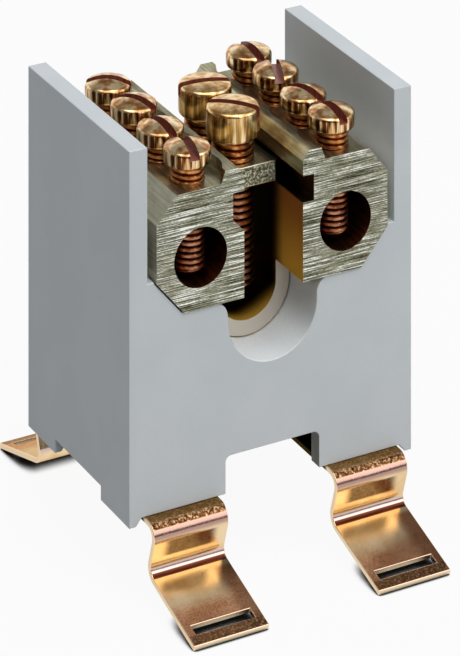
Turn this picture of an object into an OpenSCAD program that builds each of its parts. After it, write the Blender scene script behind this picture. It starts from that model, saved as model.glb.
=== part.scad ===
// Distribution terminal block: a brass clamp for one main and four branch conductors,
// carried by an open moulded housing that snaps onto a top-hat mounting rail.
// +Z is up and the front is -Y. The block stands on the tips of its rail clips.

/* [Rail] */
// Width of the mounting rail that the clips hold
rail_w = 35; // [30:0.5:40]
// Free play on each side of the rail, under the feet
rail_play = 1.6; // [1.2:0.05:2]
// How far each clip leg springs in under the rail's edge
rail_snap = 0.8; // [0.5:0.05:1.2]
// How far the housing stands back from the rail's edge, front and rear
foot_setback = 1.3; // [0.8:0.1:2]

/* [Clamp bars] */
// Clear width of the channel for the main conductor
channel_w = 9.6; // [8.8:0.1:12]
// Width of each clamp bar
bar_w = 14; // [13:0.2:17]
// Height of each bar from its underside to the land under the screw heads
bar_h = 16.9; // [16:0.1:19]
// How far the bars stand out of the housing, front and rear
bar_proud = 0.3; // [0.1:0.1:2]
// Diameter of the branch conductor holes
bore_d = 8.5; // [7:0.1:9]
// Height of the branch conductor holes above the underside of the bars
bore_h = 7.3; // [6.5:0.1:7.8]
// Width of the upper outer chamfer
upper_chamfer_w = 3.1; // [2:0.1:3.4]
// Height of the upper outer chamfer
upper_chamfer_h = 3.7; // [2.5:0.1:4.5]
// Width of the lower outer chamfer
lower_chamfer_w = 4.4; // [3:0.1:5]
// Height of the lower outer chamfer
lower_chamfer_h = 5; // [3.5:0.1:5.5]

/* [Ridge and groove] */
// Height of the ridge above the land
ridge_h = 1.8; // [1.2:0.1:2.2]
// Width of the flat top of the ridge
ridge_top_w = 2; // [1.4:0.1:2.4]
// Width of the bevel on the channel side of the ridge
ridge_bevel_w = 1; // [0.5:0.1:1.4]
// Height of the bevel on the channel side of the ridge
ridge_bevel_h = 1.4; // [0.8:0.1:1.7]
// Width of the slope from the ridge down to the land
ridge_slope_w = 0.7; // [0.4:0.1:1]
// Thickness of the lip between the groove and the land
lip_t = 1.7; // [1.4:0.1:2.2]
// Height of the groove that holds the bridge plate
groove_h = 3.8; // [3.2:0.1:4.2]
// Depth of the groove that holds the bridge plate
groove_depth = 1.8; // [1.2:0.1:2]
// Bevel on the lower side of the left groove
step_bevel = 1.9; // [1:0.1:2.4]
// Diameter of the spot faces under the branch screw heads
spot_d = 10; // [9:0.1:10.4]

/* [Trough] */
// Thickness of the trough's wall
trough_t = 2.2; // [1.6:0.1:2.6]
// Depth of the trough's centre below the underside of the bars
trough_drop = 2.8; // [2.2:0.1:4]
// How far the trough and the bridge plate stop short of the bars' ends
mill_back = 8; // [7:0.1:9]
// Free height of the bridge plate in its groove
plate_play = 0.8; // [0.2:0.05:1.2]
// Free width of the bridge plate at each side of its grooves
plate_side_play = 0.1; // [0.05:0.05:0.3]
// Chamfer at the corners of the bridge plate
plate_chamfer = 1.7; // [0.5:0.1:2.5]

/* [Branch screws] */
// Thread diameter of a branch screw
branch_thread_d = 5; // [4:0.1:5.4]
// Length of a branch screw under its head
branch_screw_len = 15.2; // [13.5:0.1:20]
// Head diameter of a branch screw
branch_head_d = 6.9; // [6.2:0.1:7.4]
// Height of the straight side of a branch screw's head
branch_head_h = 2; // [1.4:0.1:3]
// Height of the dome on a branch screw's head
branch_dome_h = 1; // [0.7:0.1:1.6]
// Width of the slot in a branch screw
branch_slot_w = 1.4; // [0.8:0.1:1.7]
// Depth of the slot in a branch screw
branch_slot_depth = 1.6; // [1.2:0.1:2]

/* [Main screws] */
// Thread diameter of a main screw
main_thread_d = 6.2; // [5:0.1:6.6]
// Length of a main screw under its head
main_screw_len = 21.3; // [16:0.1:25]
// Head diameter of a main screw
main_head_d = 7.9; // [7.2:0.1:8.4]
// Height of the straight side of a main screw's head
main_head_h = 4.3; // [3:0.1:4.8]
// Height of the shallow dome on a main screw's head
main_dome_h = 0.4; // [0.2:0.1:0.8]
// Width of the slot in a main screw
main_slot_w = 1.3; // [0.8:0.1:1.6]
// Depth of the slot in a main screw
main_slot_depth = 2; // [1.4:0.1:2.6]
// Height of a main screw's head above the bridge plate
main_head_gap = 3.1; // [0.6:0.1:6]

/* [Housing] */
// Thickness of each side wall
side_wall = 2.9; // [2.3:0.1:3.4]
// Gap between a bar and its side wall
side_gap = 1.3; // [0.6:0.1:2]
// Height of the side walls above the bottom of the feet
housing_h = 52.8; // [48:0.2:60]
// Height of the seat under the bars above the bottom of the feet
seat_h = 28.4; // [26:0.2:32]
// Gap between the housing and the clamp where they don't bear on each other
seat_play = 0.25; // [0.15:0.05:0.5]
// Thickness of the walls round the hollow in the underside
core_wall = 2.3; // [1.6:0.1:3]
// Radius of the shoulders of the notch
shoulder_r = 2.2; // [1:0.1:2.2]
// Width of the cut-out between the feet, front and rear
foot_cut_w = 15.2; // [12:0.2:16.4]
// Height of the cut-out between the feet
foot_cut_h = 6.4; // [4:0.2:8]
// Corner radius of the cut-out between the feet
foot_cut_r = 0.9; // [0.3:0.1:2]
// Length of the cut-out in the bottom of each side wall
side_cut_l = 14.6; // [10:0.2:18]
// Height of the cut-out in the bottom of each side wall
side_cut_h = 2; // [1.4:0.1:3]
// Height of the step in the feet that the clips lie in
foot_step = 1.1; // [0.9:0.05:1.6]
// Width of the bevel beside the step
foot_bevel = 0.9; // [0.3:0.1:1.2]

/* [Rail clips] */
// Thickness of the spring strip
clip_t = 0.8; // [0.6:0.05:0.9]
// Width of a clip
clip_w = 11.8; // [10:0.2:12.4]
// Height of a clip's leg, from its flat to its waist
leg_h = 7; // [6:0.1:9]
// Bend radius of the strip's middle line
bend_r = 1.7; // [1:0.1:1.9]
// Length of the sloping handle
handle_len = 14.4; // [10:0.1:16]
// Slope of the handle below the level
handle_angle = 15.5; // [12:0.5:28]
// Length of the slot across the handle
handle_slot_l = 9.3; // [6:0.1:9.6]
// Width of the slot across the handle
handle_slot_w = 1.6; // [1.2:0.1:2.4]
// Distance from the slot to the tip of the handle
handle_slot_edge = 1.9; // [1.2:0.1:3]
// Gap between a clip and the step in the feet beside it
clip_side_play = 0.4; // [0.05:0.05:0.6]

/* [Hidden] */
$fn = 64;
// Side of the row and place in it, from the front
ROWS = ["left", "right"];
PLACES = [1, 2, 3, 4];

// Running clearance of a screw in its threaded hole, on the diameter
thread_play = 0.06;
// Chamfer at the tip of a screw
tip_chamfer = 0.5;
// Overlap of a cutting shape past the surface that it opens
past = 1;
// Steps along a bend of a clip
bend_steps = 8;

// Gap from each branch screw's tip to the wall of its conductor hole, left and right row, from the front
branch_tip_gaps = [[0.6, 0.3, 0.55, 0.3], [0.75, 0.3, 0.6, 0.25]];
// Direction of each branch screw's slot, left and right row, from the front
branch_slots = [[82, 96, 121, 145], [92, 111, 71, 94]];
// Direction of the main screws' slots, front and rear
main_slots = [134, 166];

// Plan
housing_d = rail_w - 2 * foot_setback;
bar_len = housing_d + 2 * bar_proud;
bar_in = channel_w / 2;
bar_out = bar_in + bar_w;
bar_mid = bar_in + bar_w / 2;
wall_in = bar_out + side_gap;
housing_w = 2 * (wall_in + side_wall);
trough_len = bar_len - 2 * mill_back;
branch_pitch = bar_len / len(PLACES);
main_pitch = trough_len / 2;
trough_r = bar_in + trough_t;
notch_r = trough_r + seat_play;

// Rail clip, as the middle line of its strip, out from the middle of the block
clip_shoulder_y = rail_w / 2 + rail_play + clip_t / 2;
clip_waist_y = rail_w / 2 - rail_snap + clip_t / 2;
clip_flat_z = foot_step - clip_t / 2;
clip_waist_z = clip_flat_z - leg_h;
clip_tip_y = clip_waist_y + handle_len * cos(handle_angle);
clip_tip_z = clip_waist_z - handle_len * sin(handle_angle);
clip_out = wall_in + foot_bevel - clip_side_play;
clip_mid = clip_out - clip_w / 2;

// Heights
foot_z = clip_t / 2 * cos(handle_angle) - clip_tip_z;
bar_z = foot_z + seat_h;
land_z = bar_z + bar_h;
ridge_z = land_z + ridge_h;
groove_top = land_z - lip_t;
groove_bottom = groove_top - groove_h;
bore_z = bar_z + bore_h;
branch_tip_r = branch_thread_d / 2 - tip_chamfer;
branch_stop_z = bore_z - sqrt(pow(bore_d / 2, 2) - pow(branch_tip_r, 2));
trough_z = bar_z - trough_drop;
rim_z = bar_z + lower_chamfer_h + seat_play;
housing_top = foot_z + housing_h;
plate_t = groove_h - plate_play;
plate_z = groove_bottom + plate_t;
main_head_z = plate_z + main_head_gap;
ridge_w = ridge_bevel_w + ridge_top_w + ridge_slope_w;

// Colours
HOUSING_GREY = [0.73, 0.74, 0.77];
BRASS = [0.66, 0.63, 0.48];
SCREW_GOLD = [0.80, 0.56, 0.33];
CLIP_BRONZE = [0.76, 0.54, 0.30];

// An outline in X and Z, drawn out along Y
module along_y(length) {
    rotate([90, 0, 0])
        linear_extrude(height = length, center = true)
            children();
}

// An outline in Y and Z, drawn out along X
module along_x(length) {
    rotate([90, 0, 90])
        linear_extrude(height = length, center = true)
            children();
}

// The same shape on both sides of the middle plane
module both_sides() {
    children();
    mirror([1, 0, 0]) children();
}

// The same shape at the front and at the rear
module both_ends() {
    children();
    mirror([0, 1, 0]) children();
}

function branch_y(place) = (place - (len(PLACES) + 1) / 2) * branch_pitch;
function side_sign(row) = row == 0 ? -1 : 1;

// Half of the space above the housing's seat, for the right-hand bar
module bar_space() {
    top = housing_top + past;
    polygon([
        [0, top],
        [0, bar_z],
        [bar_out - lower_chamfer_w + seat_play, bar_z],
        [bar_out + seat_play, bar_z + lower_chamfer_h],
        [bar_out + seat_play, rim_z],
        [wall_in, rim_z],
        [wall_in, top]
    ]);
}

// The U-shaped notch under the channel, with one rounded shoulder on each side
module notch() {
    r = min(shoulder_r, trough_drop);
    translate([0, trough_z]) circle(r = notch_r);
    translate([-notch_r, trough_z]) square([2 * notch_r, trough_drop + past]);
    both_sides()
        translate([notch_r, bar_z - r])
            difference() {
                translate([-past, 0]) square([r + past, r]);
                translate([r, 0]) circle(r = r);
            }
}

// Cut-out between the feet, with rounded upper corners
module foot_cut() {
    half = foot_cut_w / 2;
    top = foot_z + foot_cut_h;
    translate([-half, foot_z - past]) square([foot_cut_w, foot_cut_h + past - foot_cut_r]);
    translate([foot_cut_r - half, top - 2 * foot_cut_r])
        square([foot_cut_w - 2 * foot_cut_r, 2 * foot_cut_r]);
    both_sides()
        translate([half - foot_cut_r, top - foot_cut_r]) circle(r = foot_cut_r);
}

// Hollow of the moulding, open below: it reaches up to the notch, and higher under each bar
module hollow() {
    side_x = notch_r + core_wall;
    core_d = housing_d - 2 * core_wall;
    translate([-wall_in, -core_d / 2, foot_z - past])
        cube([2 * wall_in, core_d, trough_z - notch_r - core_wall - foot_z + past]);
    both_sides()
        translate([side_x, -core_d / 2, foot_z - past])
            cube([wall_in - side_x, core_d, bar_z - core_wall - foot_z + past]);
}

// Step in the underside that the clips lie in, bevelled at the side walls
module clip_step() {
    low = wall_in + foot_bevel;
    polygon([
        [-low - foot_bevel, foot_z - past],
        [low + foot_bevel, foot_z - past],
        [low + foot_bevel, foot_z],
        [low, foot_z + foot_step],
        [-low, foot_z + foot_step],
        [-low - foot_bevel, foot_z]
    ]);
}

module housing() {
    color(HOUSING_GREY)
        difference() {
            translate([-housing_w / 2, -housing_d / 2, foot_z])
                cube([housing_w, housing_d, housing_h]);
            along_y(housing_d + 2 * past) {
                both_sides() bar_space();
                notch();
                foot_cut();
                clip_step();
            }
            hollow();
            translate([-housing_w / 2 - past, -side_cut_l / 2, foot_z - past])
                cube([housing_w + 2 * past, side_cut_l, side_cut_h + past]);
        }
}

// Section of one clamp bar, with the groove on its channel side
module bar_section(bevel) {
    polygon([
        [bar_in, bar_z],
        [bar_out - lower_chamfer_w, bar_z],
        [bar_out, bar_z + lower_chamfer_h],
        [bar_out, land_z - upper_chamfer_h],
        [bar_out - upper_chamfer_w, land_z],
        [bar_in + ridge_w, land_z],
        [bar_in + ridge_bevel_w + ridge_top_w, ridge_z],
        [bar_in + ridge_bevel_w, ridge_z],
        [bar_in, ridge_z - ridge_bevel_h],
        [bar_in, groove_top],
        [bar_in + groove_depth, groove_top],
        [bar_in + groove_depth, groove_bottom],
        [bar_in, groove_bottom - bevel]
    ]);
}

// Section of the trough that joins the bars under the channel
module trough_section() {
    side_h = trough_drop + past;
    difference() {
        union() {
            translate([0, trough_z]) circle(r = trough_r);
            translate([-trough_r, trough_z]) square([2 * trough_r, side_h]);
        }
        translate([0, trough_z]) circle(r = bar_in);
        translate([-bar_in, trough_z]) square([2 * bar_in, side_h + past]);
        translate([-trough_r, trough_z + side_h]) square([2 * trough_r, trough_r]);
    }
}

// Conductor hole, screw holes and spot faces of one bar
module bar_holes(side) {
    translate([side * bar_mid, 0, bore_z])
        rotate([90, 0, 0])
            cylinder(d = bore_d, h = bar_len + 2 * past, center = true);
    for (place = PLACES)
        translate([side * bar_mid, branch_y(place), 0]) {
            translate([0, 0, bore_z])
                cylinder(d = branch_thread_d + thread_play, h = land_z - bore_z + past);
            translate([0, 0, land_z]) cylinder(d = spot_d, h = ridge_h + past);
        }
}

module clamp_body() {
    color(BRASS)
        difference() {
            union() {
                along_y(bar_len) {
                    bar_section(0);
                    mirror([1, 0]) bar_section(step_bevel);
                }
                along_y(trough_len) trough_section();
            }
            bar_holes(-1);
            bar_holes(1);
        }
}

// Nut plate of the main screws, lying in the grooves
module bridge_plate() {
    half_w = bar_in + groove_depth - plate_side_play;
    half_l = trough_len / 2;
    color(BRASS)
        translate([0, 0, groove_bottom])
            difference() {
                linear_extrude(height = plate_t)
                    polygon([
                        [half_w - plate_chamfer, -half_l],
                        [half_w, plate_chamfer - half_l],
                        [half_w, half_l - plate_chamfer],
                        [half_w - plate_chamfer, half_l],
                        [plate_chamfer - half_w, half_l],
                        [-half_w, half_l - plate_chamfer],
                        [-half_w, plate_chamfer - half_l],
                        [plate_chamfer - half_w, -half_l]
                    ]);
                for (y = [-main_pitch / 2, main_pitch / 2])
                    translate([0, y, -past])
                        cylinder(d = main_thread_d + thread_play, h = plate_t + 2 * past);
            }
}

// Slotted screw with its head's underside at z = 0
module slotted_screw(thread_d, length, head_d, head_h, dome_h, slot_w, slot_depth, slot_angle) {
    head_r = head_d / 2;
    thread_r = thread_d / 2;
    crown_r = (pow(head_r, 2) + pow(dome_h, 2)) / (2 * dome_h);
    top = head_h + dome_h;
    color(SCREW_GOLD)
        difference() {
            union() {
                rotate_extrude()
                    polygon([
                        [0, -length],
                        [thread_r - tip_chamfer, -length],
                        [thread_r, tip_chamfer - length],
                        [thread_r, head_h / 2],
                        [0, head_h / 2]
                    ]);
                rotate_extrude()
                    intersection() {
                        square([head_r, top]);
                        translate([0, top - crown_r]) circle(r = crown_r);
                    }
            }
            rotate([0, 0, slot_angle])
                translate([-head_d, -slot_w / 2, top - slot_depth])
                    cube([2 * head_d, slot_w, slot_depth + past]);
        }
}

module branch_screw(row, place) {
    translate([
        side_sign(row) * bar_mid,
        branch_y(place),
        branch_stop_z + branch_tip_gaps[row][place - 1] + branch_screw_len
    ])
        slotted_screw(
            branch_thread_d,
            branch_screw_len,
            branch_head_d,
            branch_head_h,
            branch_dome_h,
            branch_slot_w,
            branch_slot_depth,
            branch_slots[row][place - 1]
        );
}

module main_screw(end) {
    translate([0, (end - 0.5) * main_pitch, main_head_z])
        slotted_screw(
            main_thread_d,
            main_screw_len,
            main_head_d,
            main_head_h,
            main_dome_h,
            main_slot_w,
            main_slot_depth,
            main_slots[end]
        );
}

// A bent strip's outline: the points at a distance to the left of its middle line
function unit(v) = v / norm(v);
function left_of(v) = [-v[1], v[0]];
function turned(v, angle) = [
    v[0] * cos(angle) - v[1] * sin(angle),
    v[0] * sin(angle) + v[1] * cos(angle)
];
function bend(a, b, c, shift) =
    let (
        u = unit(b - a),
        v = unit(c - b),
        angle = acos(u * v),
        side = sign(u[0] * v[1] - u[1] * v[0]),
        centre = b - u * bend_r * tan(angle / 2) + side * bend_r * left_of(u)
    )
    [
        for (i = [0 : bend_steps])
            centre
                - side * (bend_r - side * shift) * left_of(turned(u, side * angle * i / bend_steps))
    ];
function strip_side(path, shift) =
    let (last = len(path) - 1)
    concat(
        [path[0] + shift * left_of(unit(path[1] - path[0]))],
        [for (i = [1 : last - 1]) each bend(path[i - 1], path[i], path[i + 1], shift)],
        [path[last] + shift * left_of(unit(path[last] - path[last - 1]))]
    );
function reversed(list) = [for (i = [len(list) - 1 : -1 : 0]) list[i]];

module clip_section() {
    half_path = [
        [clip_shoulder_y, clip_flat_z],
        [clip_waist_y, clip_waist_z],
        [clip_tip_y, clip_tip_z]
    ];
    path = concat([for (p = reversed(half_path)) [-p[0], p[1]]], half_path);
    polygon(concat(strip_side(path, clip_t / 2), reversed(strip_side(path, -clip_t / 2))));
}

module rail_clip(side) {
    color(CLIP_BRONZE)
        translate([side * clip_mid, 0, foot_z])
            difference() {
                along_x(clip_w) clip_section();
                both_ends()
                    translate([0, -clip_tip_y, clip_tip_z])
                        rotate([handle_angle, 0, 0])
                            translate([-handle_slot_l / 2, handle_slot_edge, -clip_t])
                                cube([handle_slot_l, handle_slot_w, 2 * clip_t]);
            }
}

housing();
clamp_body();
bridge_plate();
for (row = [0 : len(ROWS) - 1])
    for (place = PLACES)
        branch_screw(row, place);
main_screw(0);  // main_screw_front
main_screw(1);  // main_screw_rear
rail_clip(-1);  // rail_clip_left
rail_clip(1);  // rail_clip_right
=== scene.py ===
"""Distribution terminal block: finishes, screw threads, floor, studio light and camera."""
import math

import bmesh
import bpy
from mathutils import Matrix, Vector


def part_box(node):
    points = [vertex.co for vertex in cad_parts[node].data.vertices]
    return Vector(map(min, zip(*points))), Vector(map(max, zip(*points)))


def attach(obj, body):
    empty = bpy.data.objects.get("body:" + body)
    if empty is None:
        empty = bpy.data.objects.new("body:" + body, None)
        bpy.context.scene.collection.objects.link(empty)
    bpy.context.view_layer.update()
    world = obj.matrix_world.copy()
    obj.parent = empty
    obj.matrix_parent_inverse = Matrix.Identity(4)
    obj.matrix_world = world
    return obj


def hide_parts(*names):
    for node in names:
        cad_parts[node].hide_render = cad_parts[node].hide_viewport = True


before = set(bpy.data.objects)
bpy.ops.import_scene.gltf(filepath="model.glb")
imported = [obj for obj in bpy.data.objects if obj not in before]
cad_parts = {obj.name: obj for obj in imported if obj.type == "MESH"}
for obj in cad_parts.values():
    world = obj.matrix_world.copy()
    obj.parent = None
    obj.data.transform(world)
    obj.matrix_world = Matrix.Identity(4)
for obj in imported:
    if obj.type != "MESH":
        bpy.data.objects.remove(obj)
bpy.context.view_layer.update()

MM = 0.001


def mm(*sizes):
    """Sizes in millimetres, as the frame's metres."""
    return tuple(size * MM for size in sizes)


# Camera: an upright film plane, so that upright edges stay upright in the picture
IMAGE_W = 460
IMAGE_H = 656
SENSOR = 36.0
VIEW_TURN = math.radians(28.4)
EYE_DISTANCE = 0.6224
EYE_HEIGHT = 0.32848
FOCAL_PIXELS = 4267.7
AXIS_PIXEL = 218.7
HORIZON_PIXEL = -1742.6

# Floor, and how near a piece has to be to darken it
FLOOR_REACH = 3.0
FLOOR_GREY = 0.45
FLOOR_GLOW = 0.94
CONTACT_REACH = 3.0 * MM
CONTACT_SAMPLES = 24
CONTACT = (0.40, 0.72)

# What the lamps are aimed at
MIDDLE_OF_BLOCK = (0.0, 0.0, 0.035)

# Rounded edges: the width of each and its number of steps
HOUSING_EDGE = (0.5 * MM, 3)
BAR_EDGE = (0.22 * MM, 2)
PLATE_EDGE = (0.14 * MM, 2)
SLOT_EDGE = (0.12 * MM, 2)
STRIP_CORNER = (0.13 * MM, 2)

# Angles in degrees: from the first three an edge is sharp, and below the last it is taken out
SHARP_ANGLE = 30
SCREW_SHARP_ANGLE = 35
STRIP_CORNER_ANGLE = 40
FLAT_ANGLE = 0.6

# Points that are nearer to each other than this, in metres, become one
MERGE_DISTANCE = 1e-6

# Screw sizes that the boxes of the screws don't give
AROUND = 56
ROWS_PER_TURN = 12
CROWN_STEPS = 8
ROUND_STEPS = 4
TIP_CHAMFER = 0.5 * MM
RIM_ROUND = 0.6 * MM
UNDER_ROUND = 0.5 * MM
THREAD_FLANK = (0.08, 0.62)
THREAD_RUNOUT = 0.6 * MM
THREAD_START_Z = mm(-0.5, -0.1)
# Length of the box that cuts a slot, in head diameters
SLOT_OVERRUN = 1.5
# Where a slot's finish ends: in slot widths from its middle, and in slot depths below its floor
SLOT_WALL = (0.5, 0.52)
SLOT_FLOOR = 0.05
BRANCH_SCREW = {
    "thread_d": 5.0 * MM,
    "pitch": 0.85 * MM,
    "thread_depth": 0.42 * MM,
    "head_h": 2.0 * MM,
    "dome_h": 1.0 * MM,
    "slot_w": 1.4 * MM,
    "slot_depth": 1.6 * MM,
}
MAIN_SCREW = {
    "thread_d": 6.2 * MM,
    "pitch": 1.0 * MM,
    "thread_depth": 0.48 * MM,
    "head_h": 4.3 * MM,
    "dome_h": 0.4 * MM,
    "slot_w": 1.3 * MM,
    "slot_depth": 2.0 * MM,
}
# Direction of each screw's slot in degrees, from the front
BRANCH_SLOTS = {"left": (82, 96, 121, 145), "right": (92, 111, 71, 94)}
MAIN_SLOTS = {"front": 134, "rear": 166}

# Rail clip strip
CLIP_T = 0.8 * MM
CLIP_BEND = 1.7 * MM
BEND_STEPS = 12
CLIP_LEG = 7.0 * MM
CLIP_SHOULDER_Y = 19.5 * MM
CLIP_WAIST_Y = 17.1 * MM
HANDLE_LENGTH = 14.4 * MM
HANDLE_ANGLE = math.radians(15.5)
HANDLE_SLOT = mm(9.3, 1.6)
HANDLE_SLOT_EDGE = 1.9 * MM
# Height of the box that cuts a handle's slot, in strip thicknesses
CUT_THROUGH = 3.0

# The limits below come in pairs: a finish starts to change at the first and has changed at the second

# Housing: the floor of the notch, paler as painted light, and the inner sides of the feet, darker as
# painted shade
NOTCH_Z = mm(34.0, 36.0)
NOTCH_X = mm(8.0, 9.0)
FOOT_SIDE_Z = mm(17.0, 18.0)
FOOT_SIDE_X = mm(18.0, 19.0)

# Brass: bar ends, plate, outer flanks with painted light, bores, channel, trough and grooves with painted
# shade
BAR_END_Y = mm(12.0, 14.0)
PLATE_Z = mm(44.0, 46.0)
FLANK_X = mm(14.4, 15.6)
BORE_X = 11.8 * MM
BORE_Z = 46.23 * MM
BORE_R = mm(4.30, 4.50)
CHANNEL_X = mm(5.4, 7.0)
CHANNEL_TOP_Z = mm(53.6, 55.0)
CHANNEL_WALL_Z = mm(39.0, 50.0)
TROUGH_Z = mm(31.6, 36.0)
TROUGH_REACH = 2.6 * MM
DAYLIGHT_Y = mm(7.0, 11.0)
GROOVE_BOTTOM_Z = mm(50.1, 50.3)
GROOVE_TOP_Z = mm(54.15, 54.25)
GROOVE_X = mm(8.0, 8.2)
GROOVE_END_Y = mm(10.0, 15.0)
GROOVE_FLOOR_Z = mm(50.6, 51.0)

# Screws: heights from the underside of the head, the main screws' row and the crest of their thread; the
# thread's painted shade deepens below the neck and its crests carry a painted highlight
HEAD_Z = mm(-0.15, 0.05)
NECK_Z = mm(-5.0, -3.0)
MAIN_ROW_X = mm(5.5, 6.5)
CREST_R = mm(2.72, 3.02)
# How much larger a main screw's thread is in radius than a branch screw's
MAIN_THICKER = 0.6 * MM

# Clips: shoulder, waist, gleam and shade (painted light and shade), painted dark reflection, tip and the
# middle under the housing (painted shade)
FOOT_Z = 10.53 * MM
CLIP_X = sum(corner.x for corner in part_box("rail_clip_right")) / 2
SHOULDER_Z = (FOOT_Z - 2.9 * MM, FOOT_Z - 2.7 * MM)
SHOULDER_Y = mm(20.2, 20.6)
WAIST_Z = mm(6.0, 6.4)
WAIST_Y = mm(19.0, 19.4)
GLEAM_X = mm(2.6, 4.6)
GLEAM_Y = mm(19.4, 20.4)
GLEAM_END_Y = mm(23.0, 26.0)
SHADE_X = mm(2.2, 4.4)
SHADE_Y = mm(19.0, 20.0)
DARK_REFLECTION_X = mm(3.0, 4.6)
DARK_REFLECTION_Z = mm(6.5, 6.9)
TIP_FACE_Y = mm(24.0, 25.0)
TIP_Y = mm(29.2, 29.5)
UNDER_Y = mm(15.6, 16.6)

# Limits on one part of a face's unit normal
NOTCH_FLOOR = (0.3, 0.8)
FOOT_INWARD = (0.6, 0.9)
END_FACE = (0.80, 0.97)
UPWARD = (0.5, 0.9)
CROWN = (0.2, 0.8)
STRIP_EDGE = (0.5, 0.8)
LEG_FACE = (0.6, 0.8)
LEG_BACK = (-0.25, -0.12)
CREST_START = (-0.15, 0.15)
BEND_START = (0.56, 0.66)
BEND_END = (0.88, 0.96)
HEEL_END = (0.93, 0.96)

# Limits on noise, which stays near 0.5
MIDDLE = (0.35, 0.65)
WEAR = (0.36, 0.64)
SPECKLE = (0.3, 0.7)
GRAIN = (0.45, 0.65)

# Painted shade: dark bronze where the clips run under the housing
UNDER_HOUSING_SHADE = (26, 18, 12)


class Wire:
    """An output socket of a node. Arithmetic on it adds Math nodes to its graph."""

    def __init__(self, graph, socket):
        self.graph = graph
        self.socket = socket

    def __add__(self, other):
        return self.graph.function("ADD", self, other)

    def __radd__(self, other):
        return self.graph.function("ADD", other, self)

    def __sub__(self, other):
        return self.graph.function("SUBTRACT", self, other)

    def __rsub__(self, other):
        return self.graph.function("SUBTRACT", other, self)

    def __mul__(self, other):
        return self.graph.function("MULTIPLY", self, other)

    def __rmul__(self, other):
        return self.graph.function("MULTIPLY", other, self)

    def __truediv__(self, other):
        return self.graph.function("DIVIDE", self, other)

    def __rtruediv__(self, other):
        return self.graph.function("DIVIDE", other, self)

    def __abs__(self):
        return self.graph.function("ABSOLUTE", self)


class Graph:
    """A shader or geometry node tree that is written as expressions on wires."""

    def __init__(self, tree):
        self.tree = tree

    def node(self, kind, settings=None, inputs=None, output=0):
        """Adds a node, with its settings first and then the values or links of its sockets."""
        made = self.tree.nodes.new(kind)
        for name, value in (settings or {}).items():
            if name == "stops":
                set_stops(made.color_ramp, value)
            else:
                setattr(made, name, value)
        for key, value in (inputs or {}).items():
            self.plug(made.inputs[key], value)
        return Wire(self, made.outputs[output])

    def plug(self, socket, value):
        """Links a wire to a socket, or sets the socket's value."""
        if isinstance(value, Wire):
            self.tree.links.new(value.socket, socket)
        else:
            socket.default_value = value

    def function(self, operation, *values):
        """A Math node on one or two values."""
        return self.node("ShaderNodeMath", {"operation": operation}, dict(enumerate(values)))

    def rise(self, value, low, high):
        """The value's place between two limits, from 0 to 1."""
        settings = {"interpolation_type": "SMOOTHSTEP"}
        return self.node("ShaderNodeMapRange", settings, {0: value, 1: low, 2: high})

    def fall(self, value, low, high):
        """The same from 1 to 0."""
        return 1 - self.rise(value, low, high)

    def parts(self, vector):
        """The X, Y and Z of a vector."""
        made = self.node("ShaderNodeSeparateXYZ", None, {0: vector})
        return [Wire(self, socket) for socket in made.socket.node.outputs]

    def vector(self, x, y, z):
        return self.node("ShaderNodeCombineXYZ", None, {0: x, 1: y, 2: z})

    def length(self, vector):
        return self.node("ShaderNodeVectorMath", {"operation": "LENGTH"}, {0: vector}, output="Value")

    def object_place(self):
        return self.node("ShaderNodeTexCoord", output="Object")

    def normal_parts(self):
        """The X, Y and Z of the surface's normal."""
        return self.parts(self.node("ShaderNodeNewGeometry", output="Normal"))

    def mix(self, factor, first, second):
        """A colour between two colours."""
        settings = {"data_type": "RGBA"}
        return self.node("ShaderNodeMix", settings, {0: factor, 6: first, 7: second}, output=2)

    def ramp(self, value, stops):
        return self.node("ShaderNodeValToRGB", {"stops": stops}, {0: value})

    def noise(self, place, scale, detail, roughness=0.5):
        inputs = {"Vector": place, "Scale": scale, "Detail": detail, "Roughness": roughness}
        return self.node("ShaderNodeTexNoise", None, inputs)

    def streaks(self, place, scales, detail, roughness=0.5):
        """Noise with its own scale along each axis."""
        stretched = self.node("ShaderNodeVectorMath", {"operation": "MULTIPLY"}, {0: place, 1: scales})
        return self.noise(stretched, 1.0, detail, roughness)

    def bump(self, height, strength, distance):
        inputs = {"Height": height, "Strength": strength, "Distance": distance}
        return self.node("ShaderNodeBump", None, inputs)


def set_stops(ramp, stops):
    """Gives a colour ramp its stops, as pairs of a place and a colour."""
    while len(ramp.elements) > 1:
        ramp.elements.remove(ramp.elements[-1])
    for number, (place, colour) in enumerate(stops):
        stop = ramp.elements[0] if number == 0 else ramp.elements.new(place)
        stop.position = place
        stop.color = colour


def linear(red, green, blue):
    """A colour as seen on the screen, 0 to 255, in the linear values that shaders take."""
    values = []
    for level in (red, green, blue):
        share = level / 255
        values.append(share / 12.92 if share <= 0.04045 else ((share + 0.055) / 1.055) ** 2.4)
    return (*values, 1.0)


def new_material(name):
    """A material, its graph and the Principled shader that the graph feeds."""
    material = bpy.data.materials.new(name)
    material.use_nodes = True
    shader = material.node_tree.nodes["Principled BSDF"]
    return material, Graph(material.node_tree), shader


def feed(graph, shader, **sockets):
    """Sets or links the shader's sockets by their names, with _ for a space."""
    for name, value in sockets.items():
        graph.plug(shader.inputs[name.replace("_", " ")], value)


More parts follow.
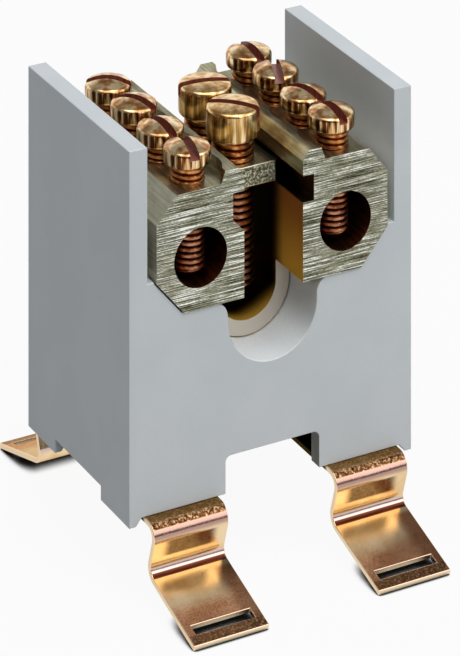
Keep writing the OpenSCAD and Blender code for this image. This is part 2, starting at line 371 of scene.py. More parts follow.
def moulded_plastic():
    """Grey moulding, paler on the floor of the notch as painted light and dark on the inner sides of the
    feet as painted shade.
    """
    material, graph, shader = new_material("moulded_plastic")
    place = graph.object_place()
    x, _, z = graph.parts(place)
    normal_x, _, normal_z = graph.normal_parts()
    cloud = graph.noise(place, scale=90.0, detail=3.0)
    grain = graph.noise(place, scale=7000.0, detail=2.0, roughness=0.6)
    # Painted light: the floor of the notch is paler
    notch = graph.rise(normal_z, *NOTCH_FLOOR) * graph.fall(z, *NOTCH_Z) * graph.fall(abs(x), *NOTCH_X)
    # Painted shade: the inner sides of the feet are darker
    painted_foot_shade = graph.rise(abs(normal_x), *FOOT_INWARD)
    painted_foot_shade = painted_foot_shade * graph.fall(z, *FOOT_SIDE_Z) * graph.fall(abs(x), *FOOT_SIDE_X)
    speckle = graph.rise(grain, *SPECKLE) * (1 - painted_foot_shade) * 0.35

    colour = graph.mix(graph.rise(cloud, *MIDDLE), linear(190, 196, 199), linear(195, 200, 203))
    colour = graph.mix(notch * 0.8, colour, linear(234, 239, 242))
    colour = graph.mix(painted_foot_shade, colour, linear(98, 97, 84))
    feed(
        graph,
        shader,
        Base_Color=graph.mix(speckle, colour, linear(184, 190, 193)),
        Roughness=0.46 + grain * 0.16,
        Normal=graph.bump(grain, strength=0.10, distance=0.05 * MM),
    )
    return material


def sawn_ends(graph, place, bar_end, plate_end):
    """Colour and relief of the brass's end faces: sawn bars, a granular plate and a plain trough."""
    strokes = graph.streaks(place, (110.0, 0.0, 6600.0), detail=0.0)
    scratches = graph.streaks(place, (520.0, 0.0, 8200.0), detail=1.0)
    pits = graph.streaks(place, (2600.0, 0.0, 4200.0), detail=2.0, roughness=0.6)
    sawn = strokes * 0.48 + scratches * 0.32 + pits * 0.2
    sawn_colour = graph.ramp(
        sawn,
        [
            (0.36, linear(40, 38, 24)),
            (0.46, linear(122, 121, 98)),
            (0.54, linear(166, 166, 146)),
            (0.62, linear(255, 255, 248)),
        ],
    )
    grit = graph.noise(place, scale=2600.0, detail=3.0, roughness=0.65)
    plate_colour = graph.ramp(
        grit,
        [(0.36, linear(50, 50, 36)), (0.50, linear(138, 138, 112)), (0.62, linear(230, 230, 206))],
    )
    colour = graph.mix(plate_end, linear(206, 198, 186), plate_colour)
    colour = graph.mix(bar_end, colour, sawn_colour)
    return colour, sawn * bar_end + grit * plate_end * 0.7


def channel_zones(graph, place, normal_z):
    """Masks of the brass in the channel: all of it, the painted shade that darkens it away from its open
    ends, and the painted shade of the grooves.
    """
    x, y, z = graph.parts(place)
    upward = graph.rise(normal_z, *UPWARD)
    channel = graph.fall(abs(x), *CHANNEL_X) * graph.fall(z, *CHANNEL_TOP_Z)
    channel = channel * (1 - upward * graph.rise(z, *PLATE_Z))
    # Painted shade: the channel darkens away from its open ends, less in the trough, and the grooves are
    # dark
    trough = graph.fall(z, *TROUGH_Z)
    shade_inside = graph.fall(abs(y) + trough * TROUGH_REACH, *DAYLIGHT_Y)
    groove_shade = graph.rise(z, *GROOVE_BOTTOM_Z) * graph.fall(z, *GROOVE_TOP_Z)
    groove_shade = groove_shade * graph.fall(abs(x), *GROOVE_X)
    groove_shade = groove_shade * (1 - upward * graph.rise(z, *GROOVE_FLOOR_Z))
    return channel, shade_inside, groove_shade


def drawn_sides(graph, place, channel, shade_inside, groove_shade):
    """Colour and streaks of the drawn brass: painted light on the outer flanks, amber in the channel, and
    painted shade in the channel away from its ends, in the grooves and in the bores.
    """
    x, y, z = graph.parts(place)
    drawn = graph.streaks(place, (2600.0, 120.0, 2600.0), detail=3.0, roughness=0.6)
    patch = graph.noise(place, scale=420.0, detail=3.0)
    wear = graph.rise(drawn * 0.6 + patch * 0.4, *WEAR)
    painted_flank_light = graph.rise(abs(x), *FLANK_X)
    groove_end = graph.rise(abs(y), *GROOVE_END_Y)
    from_bore = graph.length(graph.vector(abs(x) - BORE_X, 0.0, z - BORE_Z))
    bore_shade = graph.fall(from_bore, *BORE_R)

    # Painted light: the outer flanks of the bars are paler than the lands
    land_colour = graph.mix(wear, linear(150, 146, 118), linear(202, 199, 174))
    painted_flank_light_colour = graph.mix(wear, linear(206, 202, 178), linear(236, 232, 212))
    # Amber in the channel, darker higher up its walls, then painted shade away from its open ends
    amber = graph.mix(graph.rise(z, *CHANNEL_WALL_Z), linear(236, 184, 70), linear(168, 108, 42))
    channel_colour = graph.mix(shade_inside, amber, linear(18, 12, 5))
    # Painted shade: the grooves are dark and lighter towards their ends, and the bores are dark brown
    groove_shade_colour = graph.mix(groove_end, linear(24, 18, 9), linear(92, 70, 42))
    bore_shade_colour = graph.mix(wear, linear(104, 62, 38), linear(160, 106, 68))
    colour = graph.mix(painted_flank_light, land_colour, painted_flank_light_colour)
    colour = graph.mix(channel, colour, channel_colour)
    colour = graph.mix(groove_shade, colour, groove_shade_colour)
    return graph.mix(bore_shade, colour, bore_shade_colour), drawn


def sawn_brass():
    """Drawn brass with sawn bar ends and a granular plate end, painted light on its outer flanks and
    painted shade on its inside faces.
    """
    material, graph, shader = new_material("sawn_brass")
    place = graph.object_place()
    _, y, z = graph.parts(place)
    _, normal_y, normal_z = graph.normal_parts()
    end_face = graph.rise(abs(normal_y), *END_FACE)
    bar_end = end_face * graph.rise(abs(y), *BAR_END_Y)
    plate_end = (end_face - bar_end) * graph.rise(z, *PLATE_Z)
    channel, shade_inside, groove_shade = channel_zones(graph, place, normal_z)
    end_colour, end_relief = sawn_ends(graph, place, bar_end, plate_end)
    side_colour, drawn = drawn_sides(graph, place, channel, shade_inside, groove_shade)
    tarnish = channel * (1 - shade_inside) * (1 - end_face)
    relief = end_relief + drawn * (1 - end_face) * 0.25
    feed(
        graph,
        shader,
        Base_Color=graph.mix(end_face, side_colour, end_colour),
        Metallic=1.0 - end_face * 0.45 - tarnish * 0.5,
        Specular_Tint=(0.55, 0.50, 0.40, 1.0),
        Roughness=0.28 + end_face * 0.24 + drawn * 0.10,
        Normal=graph.bump(relief, strength=0.6, distance=0.14 * MM),
    )
    return material


def thread_colour(graph, own, main_row, patch):
    """Colour of a screw's shank: painted highlights on the crests, painted shade in the valleys, and
    browner far from the head as painted shade.
    """
    own_x, own_y, height = graph.parts(own)
    near_head = graph.rise(height, *NECK_Z)
    radius = graph.length(graph.vector(own_x, own_y, 0.0))
    crest = graph.rise(radius + (1 - main_row) * MAIN_THICKER, *CREST_R)
    # Painted highlight on the crests, painted shade in the valleys and far from the head
    neck_colour = graph.mix(patch, linear(150, 84, 46), linear(222, 158, 98))
    far_shade_colour = graph.mix(patch, linear(122, 72, 50), linear(192, 138, 104))
    crest_colour = graph.mix(near_head, far_shade_colour, neck_colour)
    valley_shade_colour = graph.mix(near_head, linear(62, 30, 16), linear(118, 62, 34))
    return graph.mix(crest, valley_shade_colour, crest_colour)


def screw_gold():
    """Gold passivated steel: pale crowns, rims streaked as plating and as painted reflections, a red-brown
    thread with painted highlights and shade, and a slot painted dark as shade.
    """
    material, graph, shader = new_material("screw_gold")
    place = graph.object_place()
    own = graph.node("ShaderNodeAttribute", {"attribute_name": "screw_place"}, output="Vector")
    slot = graph.node("ShaderNodeAttribute", {"attribute_name": "slot_side"}, output="Fac")
    x, _, _ = graph.parts(place)
    _, _, height = graph.parts(own)
    _, _, normal_z = graph.normal_parts()
    thread = graph.fall(height, *HEAD_Z)
    main_row = graph.fall(abs(x), *MAIN_ROW_X)
    patch = graph.rise(graph.noise(place, scale=900.0, detail=3.0), *MIDDLE)
    speck = graph.noise(place, scale=4200.0, detail=2.0, roughness=0.6)
    streak = graph.streaks(own, (1500.0, 1500.0, 130.0), detail=2.0, roughness=0.6)
    mottle = graph.noise(place, scale=820.0, detail=1.5)
    crown_colour = graph.ramp(
        mottle,
        [(0.34, linear(176, 116, 70)), (0.48, linear(222, 172, 114)), (0.62, linear(253, 228, 180))],
    )
    # Streaks on the rims: partly plating streaks, partly painted reflections
    rim_colour = graph.ramp(
        streak,
        [(0.39, linear(84, 44, 22)), (0.50, linear(206, 156, 96)), (0.61, linear(254, 238, 200))],
    )
    head_colour = graph.mix(graph.rise(normal_z, *CROWN), rim_colour, crown_colour)
    head_colour = graph.mix(main_row * 0.30, head_colour, linear(232, 190, 112))
    colour = graph.mix(thread, head_colour, thread_colour(graph, own, main_row, patch))
    feed(
        graph,
        shader,
        # Painted shade: the slot's inner faces are a flat dark maroon, and less metallic
        Base_Color=graph.mix(slot * 0.95, colour, linear(126, 54, 42)),
        Metallic=1.0 - slot * 0.8,
        Roughness=0.17 + speck * 0.14 + thread * 0.08,
        Normal=graph.bump(speck * 0.22 + mottle, strength=0.22, distance=0.10 * MM),
    )
    return material


def clip_zones(graph, place):
    """Masks of a clip's strip by name, from its shoulders under the feet to its handles' tips."""
    x, y, z = graph.parts(place)
    normal_x, normal_y, normal_z = graph.normal_parts()
    out = abs(y)
    across = x - graph.function("SIGN", x) * CLIP_X
    shoulder = graph.rise(z, *SHOULDER_Z) * graph.fall(out, *SHOULDER_Y)
    waist = graph.fall(z, *WAIST_Z) * graph.fall(out, *WAIST_Y)
    leg = graph.rise(abs(normal_y), *LEG_FACE) * graph.fall(normal_z, *LEG_BACK)
    side_edge = graph.rise(abs(normal_x), *STRIP_EDGE)
    tip_edge = graph.rise(abs(normal_y), *STRIP_EDGE) * graph.rise(out, *TIP_FACE_Y)
    curved = graph.rise(normal_z, *BEND_START)
    crest = graph.rise(normal_z, *CREST_START) * (1 - curved)
    gleam_side = 1 - graph.rise(across, *GLEAM_X) * graph.rise(out, *GLEAM_Y)
    return {
        "edge": graph.function("MAXIMUM", side_edge, tip_edge),
        "flat": shoulder * graph.rise(normal_z, *BEND_END),
        "bend": shoulder * curved * graph.fall(normal_z, *BEND_END),
        "shoulder crest": crest * shoulder,
        "waist crest": crest * waist,
        "heel": waist * curved * graph.fall(normal_z, *HEEL_END),
        "gleam": gleam_side * graph.fall(out, *GLEAM_END_Y),
        "shade": graph.rise(across, *SHADE_X) * graph.rise(out, *SHADE_Y),
        "dark reflection": leg * graph.rise(z, *DARK_REFLECTION_Z) * graph.fall(abs(across), *DARK_REFLECTION_X),
        "under": graph.fall(out, *UNDER_Y),
        "tip": graph.rise(out, *TIP_Y),
    }


def clip_bronze():
    """Glossy bronze-coloured spring strip with gritty bends, painted highlights and dark reflections, cut
    edges that are pale partly as a painted highlight, and painted shade in the middle under the housing.
    """
    material, graph, shader = new_material("clip_bronze")
    place = graph.object_place()
    zone = clip_zones(graph, place)
    wave = graph.noise(place, scale=130.0, detail=1.0)
    grit = graph.noise(place, scale=2600.0, detail=3.0, roughness=0.7)
    grain = graph.rise(graph.noise(place, scale=5200.0, detail=2.0, roughness=0.7), *GRAIN)
    patch = graph.rise(graph.noise(place, scale=300.0, detail=3.0), *MIDDLE)
    gold = graph.mix(patch, linear(230, 198, 150), linear(242, 216, 174))
    bronze = graph.mix(patch, linear(214, 150, 108), linear(240, 180, 136))
    flat_colour = graph.mix(patch, linear(156, 120, 70), linear(178, 142, 92))
    gritty = graph.ramp(
        grit,
        [(0.38, linear(40, 22, 14)), (0.52, linear(124, 84, 50)), (0.64, linear(220, 178, 136))],
    )
    rough = graph.function("MAXIMUM", zone["bend"], zone["tip"] * 0.75)

    # Painted highlight: the gold of the handles; painted shade: their darker right sides
    colour = graph.mix(zone["gleam"], bronze, gold)
    colour = graph.mix(grain * (1 - zone["gleam"]) * 0.6, colour, linear(104, 62, 42))
    colour = graph.mix(zone["shade"] * 0.5, colour, linear(98, 58, 40))
    # Painted dark reflection: a dark oval on each leg
    colour = graph.mix(zone["dark reflection"] * (0.76 + grain * 0.2), colour, linear(50, 30, 18))
    colour = graph.mix(zone["flat"], colour, flat_colour)
    colour = graph.mix(rough + zone["flat"] * 0.45, colour, gritty)
    # Painted highlights on the shoulder and waist crests, and a painted dark reflection on the heel
    colour = graph.mix(zone["shoulder crest"], colour, linear(190, 152, 138))
    colour = graph.mix(zone["waist crest"], colour, linear(222, 194, 184))
    colour = graph.mix(zone["heel"], colour, linear(92, 46, 34))
    # Painted highlight along the edges
    colour = graph.mix(zone["edge"], colour, linear(236, 218, 184))
    roughness = 0.19 + grain * 0.06 + zone["bend"] * 0.2 + zone["flat"] * 0.12 + zone["edge"] * 0.08
    relief = wave + grit * zone["bend"] * 0.2 + grain * 0.01
    feed(
        graph,
        shader,
        # Painted shade where the strip runs under the housing
        Base_Color=graph.mix(zone["under"], colour, linear(*UNDER_HOUSING_SHADE)),
        Specular_Tint=(0.75, 0.62, 0.45, 1.0),
        Metallic=1.0,
        Roughness=roughness,
        Normal=graph.bump(relief, strength=0.35, distance=0.5 * MM),
    )
    return material


def highlighted_edge(name, colour, roughness):
    """Pale metal for rounded edges as a painted highlight, on the brass partly wear as well."""
    material, graph, shader = new_material(name)
    feed(graph, shader, Base_Color=colour, Metallic=1.0, Roughness=roughness)
    return material


def clip_edge():
    """The cut edge of a clip, pale partly as a painted highlight, and dark as painted shade where the strip
    runs under the housing.
    """
    material, graph, shader = new_material("clip_edge")
    _, y, _ = graph.parts(graph.object_place())
    under = graph.fall(abs(y), *UNDER_Y)
    colour = graph.mix(under, linear(244, 206, 176), linear(*UNDER_HOUSING_SHADE))
    feed(graph, shader, Base_Color=colour, Metallic=1.0, Roughness=0.22)
    return material


def lathe_profile(sizes, head_d, length):
    """Radius and height of a screw's outline, from its crown to its tip, head underside at 0."""
    head_r = head_d / 2
    thread_r = sizes["thread_d"] / 2
    top = sizes["head_h"] + sizes["dome_h"]
    crown_r = (head_r ** 2 + sizes["dome_h"] ** 2) / (2 * sizes["dome_h"])
    rim_r = head_r - RIM_ROUND
    rim_z = top - crown_r + math.sqrt(crown_r ** 2 - rim_r ** 2)
    quarter = math.pi / 2
    outline = []
    for step in range(CROWN_STEPS + 1):
        radius = rim_r * step / CROWN_STEPS
        outline.append((radius, top - crown_r + math.sqrt(crown_r ** 2 - radius ** 2)))
    for step in range(1, ROUND_STEPS + 1):
        turn = quarter * (1 - step / ROUND_STEPS)
        outline.append((rim_r + RIM_ROUND * math.cos(turn), rim_z - RIM_ROUND * (1 - math.sin(turn))))
    for step in range(ROUND_STEPS + 1):
        turn = quarter * step / ROUND_STEPS
        outline.append((head_r - UNDER_ROUND * (1 - math.cos(turn)), UNDER_ROUND * (1 - math.sin(turn))))
    rows = round((length - TIP_CHAMFER) / sizes["pitch"] * ROWS_PER_TURN)
    for row in range(rows + 1):
        outline.append((thread_r, -(length - TIP_CHAMFER) * row / rows))
    outline.append((thread_r - TIP_CHAMFER, -length))
    outline.append((0.0, -length))
    return outline


def geometry_group(name, inputs):
    """A geometry node tree with a geometry input, named float inputs and a material input."""
    tree = bpy.data.node_groups.new(name, "GeometryNodeTree")
    tree.interface.new_socket("Outline", in_out="INPUT", socket_type="NodeSocketGeometry")
    for label in inputs:
        tree.interface.new_socket(label, in_out="INPUT", socket_type="NodeSocketFloat")
    tree.interface.new_socket("Finish", in_out="INPUT", socket_type="NodeSocketMaterial")
    tree.interface.new_socket("Piece", in_out="OUTPUT", socket_type="NodeSocketGeometry")
    graph = Graph(tree)
    entry = tree.nodes.new("NodeGroupInput")
    wires = {socket.name: Wire(graph, socket) for socket in entry.outputs if socket.name}
    return graph, wires


def end_group(graph, piece, finish):
    """Ends a geometry tree: its instances become real, in a finish."""
    whole = graph.node("GeometryNodeRealizeInstances", None, {0: piece})
    dressed = graph.node("GeometryNodeSetMaterial", None, {"Geometry": whole, "Material": finish})
    leave = graph.tree.nodes.new("NodeGroupOutput")
    graph.plug(leave.inputs[0], dressed)
    return graph.tree


def moved(graph, piece, place, turn=(0.0, 0.0, 0.0)):
    """The piece turned and then moved."""
    inputs = {"Geometry": piece, "Translation": graph.vector(*place), "Rotation": graph.vector(*turn)}
    return graph.node("GeometryNodeTransform", None, inputs)


def box_cut(graph, piece, size, place, turn):
    """The piece less a box of a size, at a place and turned."""
    box = graph.node("GeometryNodeMeshCube", None, {"Size": graph.vector(*size)})
    settings = {"operation": "DIFFERENCE", "solver": "EXACT"}
    return graph.node("GeometryNodeMeshBoolean", settings, {0: piece, 1: moved(graph, box, place, turn)})


def stored(graph, piece, name, value, kind, domain):
    """The piece with a value kept as a named attribute."""
    settings = {"data_type": kind, "domain": domain}
    inputs = {"Geometry": piece, "Name": name, "Value": value}
    return graph.node("GeometryNodeStoreNamedAttribute", settings, inputs)


def turned_screw_tree():
    """Turns an outline round Z, cuts a thread into its shank and a slot into its head."""
    graph, given = geometry_group(
        "turned_screw",
        [
            "Pitch",
            "Thread Depth",
            "Thread End",
            "Slot Width",
            "Slot Depth",
            "Slot Length",
            "Slot Angle",
            "Head Top",
            "Place X",
            "Place Y",
            "Place Z",
        ],
    )
    # A flat sheet, 1 by 1, with a row for each point of the outline, is rolled into the screw
    count = graph.node("GeometryNodeAttributeDomainSize", {"component": "MESH"}, {0: given["Outline"]})
    sheet = graph.node("GeometryNodeMeshGrid", None, {0: 1.0, 1: 1.0, 2: AROUND + 1, 3: count})
    position = graph.node("GeometryNodeInputPosition")
    across, along, _ = graph.parts(position)
    turn = across + 0.5
    row = graph.function("ROUND", (along + 0.5) * (count - 1))
    sampled = graph.node(
        "GeometryNodeSampleIndex",
        {"data_type": "FLOAT_VECTOR", "domain": "POINT"},
        {"Geometry": given["Outline"], "Value": position, "Index": row},
    )
    radius, _, height = graph.parts(sampled)
    # The whole turns that are added keep the phase above 0
    whole_turns = 100.0
    phase = graph.function("FRACT", height / given["Pitch"] + turn + whole_turns)
    crest = graph.rise(abs(phase - 0.5) * 2.0, *THREAD_FLANK)
    threaded = graph.rise(height, given["Thread End"], given["Thread End"] + THREAD_RUNOUT)
    threaded = threaded * graph.fall(height, *THREAD_START_Z)
    radius = radius - given["Thread Depth"] * (1 - crest) * threaded
    angle = turn * math.tau
    rolled = graph.vector(
        radius * graph.function("COSINE", angle), radius * graph.function("SINE", angle), height
    )
    turned = graph.node("GeometryNodeSetPosition", None, {"Geometry": sheet, "Position": rolled})
    closed = graph.node(
        "GeometryNodeMergeByDistance", None, {"Geometry": turned, "Distance": MERGE_DISTANCE}
    )

    slotted = box_cut(
        graph,
        closed,
        size=(given["Slot Length"], given["Slot Width"], given["Slot Depth"] * 2.0),
        place=(0.0, 0.0, given["Head Top"]),
        turn=(0.0, 0.0, given["Slot Angle"]),
    )
    cut_edges = Wire(graph, slotted.socket.node.outputs["Intersecting Edges"])
    marked = stored(graph, slotted, "bevel_weight_edge", cut_edges, "FLOAT", "EDGE")
    marked = stored(graph, marked, "screw_place", position, "FLOAT_VECTOR", "POINT")

    own_x, own_y, own_z = graph.parts(position)
    slot_cos = graph.function("COSINE", given["Slot Angle"])
    slot_sin = graph.function("SINE", given["Slot Angle"])
    aside = abs(own_y * slot_cos - own_x * slot_sin)
    slot_floor = given["Head Top"] - given["Slot Depth"]
    inside = graph.fall(aside, *(given["Slot Width"] * share for share in SLOT_WALL))
    inside = inside * graph.rise(own_z, slot_floor - given["Slot Depth"] * SLOT_FLOOR, slot_floor)
    marked = stored(graph, marked, "slot_side", inside, "FLOAT", "FACE")
    placed = moved(graph, marked, (given["Place X"], given["Place Y"], given["Place Z"]))
    return end_group(graph, placed, given["Finish"])


def bent_strip_tree():
    """Bends a strip along a path and cuts a slot into each handle."""
    graph, given = geometry_group(
        "bent_strip",
        [
            "Bend Radius",
            "Width",
            "Thickness",
            "Slot Length",
            "Slot Width",
            "Slot Y",
            "Slot Z",
            "Handle Angle",
            "Place X",
        ],
    )
    path = graph.node("GeometryNodeMeshToCurve", None, {0: given["Outline"]})
    path = graph.node(
        "GeometryNodeFilletCurve",
        {"mode": "POLY"},
        {"Curve": path, "Count": BEND_STEPS, "Radius": given["Bend Radius"]},
    )
    section = graph.node(
        "GeometryNodeCurvePrimitiveQuadrilateral",
        None,
        {"Width": given["Width"], "Height": given["Thickness"]},
    )
    strip = graph.node(
        "GeometryNodeCurveToMesh", None, {"Curve": path, "Profile Curve": section, "Fill Caps": True}
    )
    for end in (-1, 1):
        strip = box_cut(
            graph,
            strip,
            size=(given["Slot Length"], given["Slot Width"], given["Thickness"] * CUT_THROUGH),
            place=(0.0, given["Slot Y"] * end, given["Slot Z"]),
            turn=(given["Handle Angle"] * -end, 0.0, 0.0),
        )
    placed = moved(graph, strip, (given["Place X"], 0.0, 0.0))
    return end_group(graph, placed, given["Finish"])


def polyline(name, points):
    """A mesh of edges through the points, in order."""
    mesh = bpy.data.meshes.new(name)
    mesh.from_pydata(points, [(number, number + 1) for number in range(len(points) - 1)], [])
    return mesh


def add_object(name, data):
    """A new object in the scene."""
    made = bpy.data.objects.new(name, data)
    bpy.context.scene.collection.objects.link(made)
    return made


def grown(name, outline, tree, values):
    """Runs a geometry tree on an outline and gives its result as a plain mesh object."""
    seed = add_object(name + "_outline", outline)
    modifier = seed.modifiers.new("shape", "NODES")
    modifier.node_group = tree
    for item in tree.interface.items_tree:
        if item.name in values:
            modifier[item.identifier] = values[item.name]
    graph = bpy.context.evaluated_depsgraph_get()
    mesh = bpy.data.meshes.new_from_object(seed.evaluated_get(graph), depsgraph=graph)
    bpy.data.objects.remove(seed)
    mesh.name = name
    return add_object(name, mesh)


def smooth_by_angle(mesh, angle):
    """Shades a mesh smooth, apart from the edges that are sharper than an angle."""
    mesh.shade_smooth()
    mesh.set_sharp_from_angle(angle=math.radians(angle))


def bevel(piece, rounding, angle=None, edge=None):
    """Rounds the edges sharper than an angle, or those with a bevel weight, in their own finish."""
    modifier = piece.modifiers.new("edges", "BEVEL")
    modifier.width, modifier.segments = rounding
    modifier.limit_method = "WEIGHT" if angle is None else "ANGLE"
    modifier.harden_normals = True
    modifier.use_clamp_overlap = True
    if angle is not None:
        modifier.angle_limit = math.radians(angle)
    if edge is not None:
        piece.data.materials.append(edge)
        modifier.material = len(piece.data.materials) - 1


def rounded_copy(node, rounding, material, edge=None):
    """A copy of a solid with its edges rounded, in the solid's place."""
    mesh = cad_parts[node].data.copy()
    mesh.name = node + "_rounded"
    work = bmesh.new()
    work.from_mesh(mesh)
    bmesh.ops.remove_doubles(work, verts=work.verts, dist=MERGE_DISTANCE)
    bmesh.ops.dissolve_limit(
        work, angle_limit=math.radians(FLAT_ANGLE), verts=work.verts, edges=work.edges
    )
    work.to_mesh(mesh)
    work.free()
    mesh.materials.clear()
    mesh.materials.append(material)
    smooth_by_angle(mesh, SHARP_ANGLE)
    piece = add_object(node + "_rounded", mesh)
    bevel(piece, rounding, angle=SHARP_ANGLE, edge=edge)
    return piece


def stand_for(piece, node, body):
    """The piece rides on a body, in place of a solid."""
    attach(piece, body)
    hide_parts(node)


def turned_screw(node, sizes, slot_angle, tree, material, edge):
    """A screw with its thread and slot, in the place of its solid."""
    low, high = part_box(node)
    top = sizes["head_h"] + sizes["dome_h"]
    head_d = high.x - low.x
    length = high.z - low.z - top
    points = [(radius, 0.0, height) for radius, height in lathe_profile(sizes, head_d, length)]
    values = {
        "Pitch": sizes["pitch"],
        "Thread Depth": sizes["thread_depth"],
        "Thread End": -length + TIP_CHAMFER / 2,
        "Slot Width": sizes["slot_w"],
        "Slot Depth": sizes["slot_depth"],
        "Slot Length": head_d * SLOT_OVERRUN,
        "Slot Angle": math.radians(slot_angle),
        "Head Top": top,
        "Place X": (low.x + high.x) / 2,
        "Place Y": (low.y + high.y) / 2,
        "Place Z": high.z - top,
        "Finish": material,
    }
    piece = grown(node + "_turned", polyline(node + "_outline", points), tree, values)
    smooth_by_angle(piece.data, SCREW_SHARP_ANGLE)
    bevel(piece, SLOT_EDGE, edge=edge)
    stand_for(piece, node, node)


def rail_clip(node, tree, material, edge):
    """A clip bent from its strip, in the place of its solid."""
    low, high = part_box(node)
    waist_z = low.z + CLIP_T / 2 * math.cos(HANDLE_ANGLE) + HANDLE_LENGTH * math.sin(HANDLE_ANGLE)
    tip_y = CLIP_WAIST_Y + HANDLE_LENGTH * math.cos(HANDLE_ANGLE)
    tip_z = waist_z - HANDLE_LENGTH * math.sin(HANDLE_ANGLE)
    half = [
        (0.0, CLIP_SHOULDER_Y, waist_z + CLIP_LEG),
        (0.0, CLIP_WAIST_Y, waist_z),
        (0.0, tip_y, tip_z),
    ]
    path = [(x, -y, z) for x, y, z in reversed(half)] + half
    back = HANDLE_SLOT_EDGE + HANDLE_SLOT[1] / 2
    values = {
        "Bend Radius": CLIP_BEND,
        "Width": high.x - low.x,
        "Thickness": CLIP_T,
        "Slot Length": HANDLE_SLOT[0],
        "Slot Width": HANDLE_SLOT[1],
        "Slot Y": tip_y - back * math.cos(HANDLE_ANGLE),
        "Slot Z": tip_z + back * math.sin(HANDLE_ANGLE),
        "Handle Angle": HANDLE_ANGLE,
        "Place X": (low.x + high.x) / 2,
        "Finish": material,
    }
    piece = grown(node + "_bent", polyline(node + "_path", path), tree, values)
    smooth_by_angle(piece.data, SHARP_ANGLE)
    bevel(piece, STRIP_CORNER, angle=STRIP_CORNER_ANGLE, edge=edge)
    stand_for(piece, node, "block")


def grey(level):
    """A neutral colour, in linear values."""
    return (level, level, level, 1.0)


def seen_directly(graph):
    """1 for a ray from the camera, a reflection or a see-through surface."""
    path = graph.node("ShaderNodeLightPath", output="Is Camera Ray")
    outputs = path.socket.node.outputs
    total = path + Wire(graph, outputs["Is Glossy Ray"]) + Wire(graph, outputs["Is Transmission Ray"])
    return graph.function("MINIMUM", total, 1.0)


def pale_ground():
    """A floor that is white to the camera and in reflections, and dark where a piece is close."""
    material, graph, shader = new_material("pale_ground")
    graph.tree.nodes.remove(shader)
    open_sky = graph.node(
        "ShaderNodeAmbientOcclusion", {"samples": CONTACT_SAMPLES}, {"Distance": CONTACT_REACH}, output="AO"
    )
    shade = graph.mix(graph.rise(open_sky, *CONTACT), grey(0.0), grey(1.0))
    matt = graph.node("ShaderNodeBsdfDiffuse", None, {"Color": grey(FLOOR_GREY)})
    glow = graph.node("ShaderNodeEmission", None, {"Color": shade})
    share = seen_directly(graph) * FLOOR_GLOW
    mixed = graph.node("ShaderNodeMixShader", None, {0: share, 1: matt, 2: glow})
    graph.plug(graph.tree.nodes["Material Output"].inputs["Surface"], mixed)
    return material


def floor():
    """The floor that the block stands on, which is scenery."""
    near, far = -FLOOR_REACH, FLOOR_REACH
    mesh = bpy.data.meshes.new("floor")
    corners = [(near, near, 0.0), (far, near, 0.0), (far, far, 0.0), (near, far, 0.0)]
    mesh.from_pydata(corners, [], [(0, 1, 2, 3)])
    mesh.materials.append(pale_ground())
    ground = add_object("floor", mesh)


def studio_world():
    """White to the camera, with a room that is bright above and dim at the left as light.

    Reflections show a darker room, with a white screen behind the block.
    """
    world = bpy.data.worlds.new("studio")
    bpy.context.scene.world = world
    world.use_nodes = True
    graph = Graph(world.node_tree)
    backdrop = world.node_tree.nodes["Background"]
    east, north, up = graph.parts(graph.node("ShaderNodeTexCoord", output="Generated"))
    ahead = north * math.cos(VIEW_TURN) + east * math.sin(VIEW_TURN)
    lift = graph.rise(up, -0.1, 0.9)
    left = graph.rise(east * -0.8 - north * 0.4, 0.0, 0.8)
    screen = graph.rise(ahead, -0.05, 0.25) * graph.fall(up, 0.42, 0.66)
    room = graph.mix(lift, (0.19, 0.195, 0.20, 1.0), (0.50, 0.505, 0.51, 1.0))
    room = graph.mix(left, room, (0.11, 0.12, 0.125, 1.0))
    mirrored = graph.mix(lift, (0.04, 0.04, 0.045, 1.0), (0.26, 0.26, 0.265, 1.0))
    mirrored = graph.mix(screen, mirrored, grey(1.0))
    shown = graph.mix(seen_directly(graph), room, mirrored)
    camera_ray = graph.node("ShaderNodeLightPath", output="Is Camera Ray")
    graph.plug(backdrop.inputs["Color"], graph.mix(camera_ray, shown, grey(1.0)))
    backdrop.inputs["Strength"].default_value = 1.0


def softbox(name, place, size, power):
    """A rectangular lamp that is aimed at the middle of the block."""
    data = bpy.data.lights.new(name, "AREA")
    data.shape = "RECTANGLE"
    data.size, data.size_y = size
    data.energy = power
    lamp = add_object(name, data)
    lamp.location = place
    lamp.rotation_mode = "QUATERNION"
    lamp.rotation_quaternion = (Vector(MIDDLE_OF_BLOCK) - Vector(place)).to_track_quat("-Z", "Y")


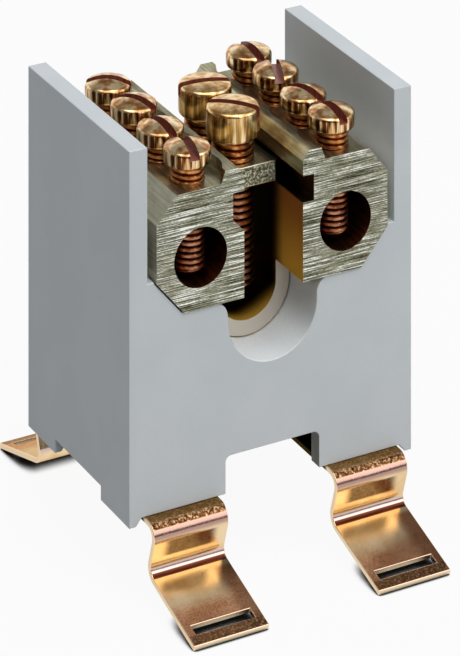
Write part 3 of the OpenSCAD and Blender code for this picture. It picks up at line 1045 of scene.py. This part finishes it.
def upright_camera():
    """A camera whose film plane stands upright while it looks down on the block."""
    right = Vector((math.cos(VIEW_TURN), -math.sin(VIEW_TURN), 0.0))
    ahead = Vector((math.sin(VIEW_TURN), math.cos(VIEW_TURN), 0.0))
    up = Vector((0.0, 0.0, 1.0))
    eye = up * EYE_HEIGHT - ahead * EYE_DISTANCE
    aim = ahead + right * ((IMAGE_W / 2 - AXIS_PIXEL) / FOCAL_PIXELS)
    aim = aim - up * ((IMAGE_H / 2 - HORIZON_PIXEL) / FOCAL_PIXELS)
    data = bpy.data.cameras.new("camera")
    data.sensor_width = SENSOR
    data.lens = FOCAL_PIXELS * aim.length * SENSOR / IMAGE_H
    camera = add_object("camera", data)
    camera.parent = add_object("camera_stand", None)
    columns = [right, up, -aim.normalized(), eye]
    camera.matrix_parent_inverse = Matrix(
        [[column[row] for column in columns] for row in range(3)] + [[0.0, 0.0, 0.0, 1.0]]
    )
    bpy.context.scene.camera = camera


def main():
    """Builds the pieces in the places of the solids, and the studio round them."""
    plastic = moulded_plastic()
    brass = sawn_brass()
    # Painted highlight along the rounded edges of the brass, partly wear
    worn_edge_highlight = highlighted_edge("worn_brass_edge_highlight", linear(222, 218, 192), 0.32)
    stand_for(rounded_copy("housing", HOUSING_EDGE, plastic), "housing", "block")
    stand_for(rounded_copy("clamp_body", BAR_EDGE, brass, worn_edge_highlight), "clamp_body", "block")
    stand_for(rounded_copy("bridge_plate", PLATE_EDGE, brass, worn_edge_highlight), "bridge_plate", "block")

    gold = screw_gold()
    # Painted highlight along the rounded edges of the screw slots
    slot_highlight = highlighted_edge("slot_edge_highlight", linear(244, 206, 176), 0.22)
    screw_tree = turned_screw_tree()
    for row, angles in BRANCH_SLOTS.items():
        for place, angle in enumerate(angles, 1):
            turned_screw(f"branch_screw_{row}_{place}", BRANCH_SCREW, angle, screw_tree, gold, slot_highlight)
    for end, angle in MAIN_SLOTS.items():
        turned_screw(f"main_screw_{end}", MAIN_SCREW, angle, screw_tree, gold, slot_highlight)

    bronze = clip_bronze()
    cut_edge = clip_edge()
    strip_tree = bent_strip_tree()
    for side in ("left", "right"):
        rail_clip(f"rail_clip_{side}", strip_tree, bronze, cut_edge)

    floor()
    studio_world()
    softbox("key_light", place=(0.38, -0.66, 0.58), size=(1.05, 0.80), power=5.0)
    softbox("top_light", place=(-0.08, -0.24, 0.84), size=(0.80, 0.80), power=4.4)
    upright_camera()
    bpy.context.scene.view_settings.view_transform = "Standard"


main()
